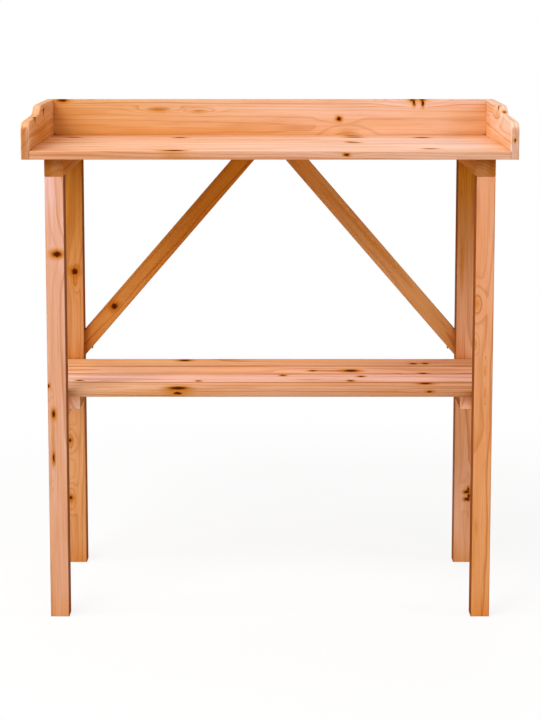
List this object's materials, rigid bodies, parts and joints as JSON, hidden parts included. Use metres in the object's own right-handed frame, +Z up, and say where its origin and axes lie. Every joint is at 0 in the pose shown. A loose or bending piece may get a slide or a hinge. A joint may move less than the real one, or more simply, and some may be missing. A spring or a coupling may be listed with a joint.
{
  "type": "potting bench",
  "caption": "Wooden potting bench with a slatted top in a low tray open at the front, a slatted shelf below and diagonal braces between the rear legs and the top.",
  "frame": {"origin": "on the floor, under the middle of the bench's outer box", "axes": "+Z up, front towards -Y, +X to the right as seen from the front"},
  "size_m": [0.825, 0.389, 0.867],
  "materials": {
    "stained_fir": "planed fir with a thin honey stain, matt",
    "dowel_beech": "plain turned beech",
    "screw_steel": "dark zinc plate"
  },
  "bodies": {
    "root": {"back_board": "stained_fir", "back_board_screws": "screw_steel", "brace_foot_screws": "screw_steel", "brace_head_screws": "screw_steel", "brace_left": "stained_fir", "brace_right": "stained_fir", "cleat_screws": "screw_steel", "leg_front_left": "stained_fir", "leg_front_right": "stained_fir", "leg_rear_left": "stained_fir", "leg_rear_right": "stained_fir", "leg_top_screws": "screw_steel", "shelf_cleat_left": "stained_fir", "shelf_cleat_right": "stained_fir", "shelf_rail_dowels": "dowel_beech", "shelf_rail_left": "stained_fir", "shelf_rail_right": "stained_fir", "shelf_slat_1": "stained_fir", "shelf_slat_2": "stained_fir", "shelf_slat_3": "stained_fir", "shelf_slat_4": "stained_fir", "shelf_slat_screws": "screw_steel", "side_board_left": "stained_fir", "side_board_right": "stained_fir", "side_board_screws": "screw_steel", "top_rail_left": "stained_fir", "top_rail_right": "stained_fir", "top_slat_1": "stained_fir", "top_slat_2": "stained_fir", "top_slat_3": "stained_fir", "top_slat_4": "stained_fir", "top_slat_5": "stained_fir", "top_slat_screws": "screw_steel"}
  },
  "joints": []
}
